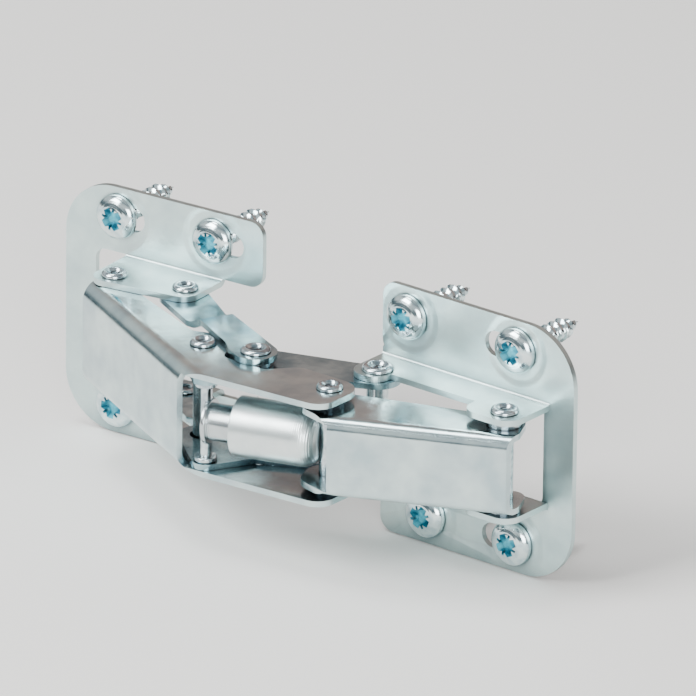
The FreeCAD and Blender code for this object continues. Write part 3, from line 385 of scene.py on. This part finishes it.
for name, body, x, y, shank, low, low_head, high, high_head in pins:
    below = [(radius, low - height) for radius, height in reversed(spun_head(*low_head))]
    above = [(radius, high + height) for radius, height in spun_head(*high_head)]
    middle = (low + high) / 2
    profile = [(r, h - middle) for r, h in below + [(shank, low), (shank, high)] + above]
    show("spun_" + name, lathe(profile), rivet_zinc,
         Matrix.Translation(Vector((x, y, middle)) / 1000), body, "zinc_pin", name)
for spacer_node in [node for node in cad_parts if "spacer" in node]:
    finish_node(spacer_node, rivet_zinc, 0.0001)
finish_node("spring_pin", rivet_zinc, 0.0)


# Spring unit: a deep-drawn barrel that bears on the joint pin, a drawn plunger that bears on the
# spring pin, and a hard-drawn wire spring inside. The barrel's closed end shows the rings of the
# tool that spun it, and its rolled mouth is bright.

def drawn_steel(name, colour, dark, axis, origin, roughness):
    """Bright zinc on deep-drawn steel; the rings of the draw lie across the axis."""
    material = bpy.data.materials.new(name)
    material.use_nodes = True
    material.node_tree.nodes.clear()
    place = add(material, "ShaderNodeTexCoord")
    offset = add(material, "ShaderNodeVectorMath", {0: place.outputs["Object"], 1: origin},
                 operation="SUBTRACT")
    along = add(material, "ShaderNodeVectorMath", {0: offset.outputs["Vector"], 1: axis},
                operation="DOT_PRODUCT")
    # Draw rings 0.35 mm apart, plain for 2 mm from the origin and down to a trace by 6 mm
    phase = add(material, "ShaderNodeMath", {0: along.outputs["Value"], 1: 2 * math.pi / 0.00035},
                operation="MULTIPLY")
    rings = add(material, "ShaderNodeMath", {0: phase.outputs["Value"]}, operation="SINE")
    fade = add(material, "ShaderNodeMapRange", {"Value": along.outputs["Value"], "From Min": 0.002,
                                                "From Max": 0.006, "To Min": 1.0, "To Max": 0.12})
    faded = add(material, "ShaderNodeMath", {0: rings.outputs["Value"], 1: fade.outputs["Result"]},
                operation="MULTIPLY")
    bump = add(material, "ShaderNodeBump", {"Height": faded.outputs["Value"], "Strength": 0.5,
                                            "Distance": 0.00003})
    # Smears of the draw, about 3 mm long
    smears = add(material, "ShaderNodeTexNoise", {"Vector": place.outputs["Object"], "Scale": 330.0,
                                                  "Detail": 4.0})
    tint = add(material, "ShaderNodeMixRGB", {"Fac": smears.outputs["Fac"],
                                              "Color1": linear(dark), "Color2": linear(colour)})
    worn = add(material, "ShaderNodeMapRange", {"Value": smears.outputs["Fac"],
                                                "To Min": roughness + 0.08, "To Max": roughness})
    shader = add(material, "ShaderNodeBsdfPrincipled", {
        "Base Color": tint.outputs["Color"], "Roughness": worn.outputs["Result"],
        "Normal": bump.outputs["Normal"], "Metallic": 1.0})
    add(material, "ShaderNodeOutputMaterial", {"Surface": shader.outputs["BSDF"]})
    return material


joint_pin = Vector((-33.25, -18.23, 0.0)) / 1000
spring_pin = Vector((-53.6, -24.7, 0.0)) / 1000
unit = (spring_pin - joint_pin).normalized()
barrel_bright = drawn_steel("drawn_barrel_zinc", "F0F6F4", "D3E0E1", unit, joint_pin, 0.30)
finish_node("spring_barrel", barrel_bright, 0.0)
plunger_bright = drawn_steel("drawn_plunger_zinc", "D5DBDB", "B0B9BD", -unit, spring_pin, 0.2)
finish_node("spring_plunger", plunger_bright, 0.0)

# The spring: 0.9 mm wire in open turns between two closed, ground ends
WIRE, COIL_RADIUS, COIL_START, COIL_END, TURNS = 0.9, 2.05, 2.3, 14.3, 6.0
coil = bpy.data.curves.new("wire_spring", "CURVE")
coil.dimensions = "3D"
coil.bevel_depth = WIRE / 2000
coil.bevel_resolution = 3
coil.use_fill_caps = True
steps = 28
count = int((TURNS + 2) * steps) + 1
run = coil.splines.new("POLY")
run.points.add(count - 1)
rise = 0.0
open_pitch = (COIL_END - COIL_START - 2 * WIRE) / TURNS
for i in range(count):
    turned = i / steps
    closed = turned < 1 or turned > TURNS + 1
    run.points[i].co = (COIL_RADIUS / 1000 * math.cos(2 * math.pi * turned),
                        COIL_RADIUS / 1000 * math.sin(2 * math.pi * turned), rise / 1000, 1.0)
    rise += (WIRE if closed else open_pitch) / steps
spring = bpy.data.objects.new("wire_spring", coil)
bpy.context.scene.collection.objects.link(spring)
coil.materials.append(drawn_steel("patented_spring_wire", "9BA1A6", "6E757B", unit, joint_pin, 0.3))
spring.matrix_world = Matrix.Translation(spring_pin - unit * COIL_START / 1000) @ (
    (-unit).to_track_quat("Z", "Y").to_matrix().to_4x4())
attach(spring, "plunger")
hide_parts("compression_spring")


# Screws: 4 x 16 mm pan-head wood screws of steel with blue passivated zinc. The head is upset and
# the cross recess with its four small ticks is punched cold; the thread is rolled, with a sharp
# crest every 1.8 mm and a gimlet point.

HEAD_RADIUS, HEAD_HEIGHT, THREAD_RADIUS, CORE_RADIUS = 3.85, 2.1, 2.0, 1.35
SCREW_LENGTH, THREAD_PITCH, NECK_LENGTH = 16.0, 1.8, 1.0
passivated = spun_steel("blue_passivated_zinc", "E2EFF0", "BCD2D8", 0.10)
recess_glow = spun_steel("recess_painted_glow", "5CC4D6", "1F7F99", 0.32)
# In the recess the zinc is coloured a saturated blue-green, a painted glow of light bouncing in it,
# and it shines less than bare metal
recess_glow.node_tree.nodes["Principled BSDF"].inputs["Metallic"].default_value = 0.45


def recess_cutter():
    """A tapered cross with four small ticks between its arms, for the head's recess."""
    work = bmesh.new()

    def prism(corners, top, bottom, shrink):
        upper = [work.verts.new((x / 1000, y / 1000, top / 1000)) for x, y in corners]
        lower = [work.verts.new((x * shrink / 1000, y * shrink / 1000, bottom / 1000))
                 for x, y in corners]
        work.faces.new(upper)
        work.faces.new(list(reversed(lower)))
        for i in range(len(corners)):
            j = (i + 1) % len(corners)
            work.faces.new((upper[i], lower[i], lower[j], upper[j]))

    half, reach, waist = 0.86, 2.35, 1.35
    cross = []
    for quarter in range(4):
        c, s = math.cos(quarter * math.pi / 2), math.sin(quarter * math.pi / 2)
        for x, y in ((waist, -half), (reach, -half * 0.86), (reach, half * 0.86), (waist, half)):
            cross.append((x * c - y * s, x * s + y * c))
    prism(cross, HEAD_HEIGHT + 0.5, HEAD_HEIGHT - 1.15, 0.6)
    for quarter in range(4):
        c, s = math.cos((quarter + 0.5) * math.pi / 2), math.sin((quarter + 0.5) * math.pi / 2)
        tick = [(x * c - y * s, x * s + y * c)
                for x, y in ((0.3, -0.34), (2.3, -0.24), (2.3, 0.24), (0.3, 0.34))]
        prism(tick, HEAD_HEIGHT + 0.4, HEAD_HEIGHT - 0.8, 0.72)
    bmesh.ops.recalc_face_normals(work, faces=work.faces)
    mesh = bpy.data.meshes.new("recess_cutter")
    work.to_mesh(mesh)
    work.free()
    return mesh


head_profile = [(0.0, 0.0), (HEAD_RADIUS * 0.96, 0.0), (HEAD_RADIUS, 0.16), (HEAD_RADIUS, 0.5)]
for i in range(1, 15):
    sweep = math.radians(90 * i / 14)
    head_profile.append((HEAD_RADIUS * math.cos(sweep) ** 0.9 if i < 14 else 0.0,
                         0.5 + (HEAD_HEIGHT - 0.5) * math.sin(sweep)))
head_mesh = lathe(head_profile, 72)
head_mesh.materials.append(passivated)
cutter_mesh = recess_cutter()
# The recess faces take the cutter's material, the painted glow
cutter_mesh.materials.append(recess_glow)
blank = bpy.data.objects.new("screw_blank", head_mesh)
cutter = bpy.data.objects.new("recess_cutter", cutter_mesh)
for helper in (blank, cutter):
    bpy.context.scene.collection.objects.link(helper)
punch = blank.modifiers.new("punched_recess", "BOOLEAN")
punch.object = cutter
punch.operation = "DIFFERENCE"
punch.solver = "EXACT"
punch.use_self = True
punch.material_mode = "TRANSFER"
punched_head = evaluated_mesh(blank, cutter)

shank = bmesh.new()
shank.from_mesh(punched_head)
around, per_pitch = 24, 10
rows = int(SCREW_LENGTH / THREAD_PITCH * per_pitch)
rings = []
for k in range(rows + 1):
    depth = SCREW_LENGTH * k / rows
    to_tip = SCREW_LENGTH - depth
    point = min(1.0, (to_tip + 0.15) / 4.0)
    ring = []
    for i in range(around):
        angle = 2 * math.pi * i / around
        phase = (depth / THREAD_PITCH - i / around) % 1.0
        crest = max(0.0, 1.0 - abs(phase - 0.5) / 0.26)
        if depth < NECK_LENGTH:
            radius = 1.6
        else:
            radius = (CORE_RADIUS + (THREAD_RADIUS - CORE_RADIUS) * crest) * point
        ring.append(shank.verts.new((radius / 1000 * math.cos(angle),
                                     radius / 1000 * math.sin(angle), -depth / 1000)))
    rings.append(ring)
for upper, lower in zip(rings, rings[1:]):
    for i in range(around):
        j = (i + 1) % around
        shank.faces.new((upper[i], lower[i], lower[j], upper[j])).smooth = True
shank.faces.new(list(reversed(rings[-1])))
screw_mesh = bpy.data.meshes.new("pan_head_screw")
shank.to_mesh(screw_mesh)
shank.free()
screw_mesh.materials.append(passivated)
screw_mesh.materials.append(recess_glow)
screw_mesh.set_sharp_from_angle(angle=math.radians(28))
for body, node, place, out, turned in screw_places:
    aim = out.to_track_quat("Z", "X").to_matrix().to_4x4()
    show("pan_head_" + node, screw_mesh, None,
         Matrix.Translation(place) @ aim @ Matrix.Rotation(math.radians(turned), 4, "Z"),
         body, "screw_zinc", node)


# Studio: a pale paper floor, three square soft boxes and a room that is dark at the horizon and
# bright above it, so that bends and pins show a dark line beside their highlight.

def soft_box(name, place, size, power):
    """A square soft box that faces the hinge."""
    lamp = bpy.data.objects.new(name, bpy.data.lights.new(name, "AREA"))
    bpy.context.scene.collection.objects.link(lamp)
    lamp.location = place
    lamp.rotation_mode = "QUATERNION"
    lamp.rotation_quaternion = (lamp.location - AIM).to_track_quat("Z", "Y")
    lamp.data.size = size
    lamp.data.energy = power
    return lamp


floor_mesh = bpy.data.meshes.new("floor")
floor_z = cad_box[0][2] - 0.0002
floor_mesh.from_pydata([(-3, -3, floor_z), (3, -3, floor_z), (3, 3, floor_z), (-3, 3, floor_z)],
                       [], [(0, 1, 2, 3)])
floor = bpy.data.objects.new("floor", floor_mesh)
bpy.context.scene.collection.objects.link(floor)
paper = bpy.data.materials.new("pale_paper")
paper.use_nodes = True
paper.node_tree.nodes["Principled BSDF"].inputs["Base Color"].default_value = linear("F3F2EF")
paper.node_tree.nodes["Principled BSDF"].inputs["Roughness"].default_value = 0.9
floor_mesh.materials.append(paper)
soft_box("key_light", (-0.45, -0.75, 0.75), 0.6, 17.0)
soft_box("fill_light", (0.62, -0.72, 0.28), 0.5, 8.0)
soft_box("top_light", (-0.3, -0.1, 0.95), 0.35, 4.0)

# Behind the hinge the room is warmer, and darkest low down, which gives the links' top faces depth
world = bpy.data.worlds.new("studio_room")
bpy.context.scene.world = world
world.use_nodes = True
world.node_tree.nodes.clear()
way = add(world, "ShaderNodeTexCoord")
axes = add(world, "ShaderNodeSeparateXYZ", {"Vector": way.outputs["Generated"]})
walls = add(world, "ShaderNodeValToRGB", {"Fac": axes.outputs["Z"]})
bands = walls.color_ramp.elements
bands[0].color = linear("4E5B63")
bands[1].color = linear("DDE6E8")
for height, colour in ((0.17, "7C8A90"), (0.32, "F2F7F8"), (0.62, "F2F7F8"), (0.8, "93A1A8")):
    bands.new(height).color = linear(colour)
behind = add(world, "ShaderNodeMapRange", {"Value": axes.outputs["Y"], "From Min": 0.15,
                                           "From Max": 0.6, "To Max": 0.9},
             interpolation_type="SMOOTHSTEP")
rear = add(world, "ShaderNodeValToRGB", {"Fac": axes.outputs["Z"]})
rear.color_ramp.elements[0].color = linear("3E3535")
rear.color_ramp.elements[1].color = linear("CDB4AC")
for height, colour in ((0.2, "57494A"), (0.34, "C8A9A0")):
    rear.color_ramp.elements.new(height).color = linear(colour)
room = add(world, "ShaderNodeMixRGB", {"Fac": behind.outputs["Result"],
                                       "Color1": walls.outputs["Color"],
                                       "Color2": rear.outputs["Color"]})
glow = add(world, "ShaderNodeBackground", {"Color": room.outputs["Color"], "Strength": 0.85})
add(world, "ShaderNodeOutputWorld", {"Surface": glow.outputs["Background"]})
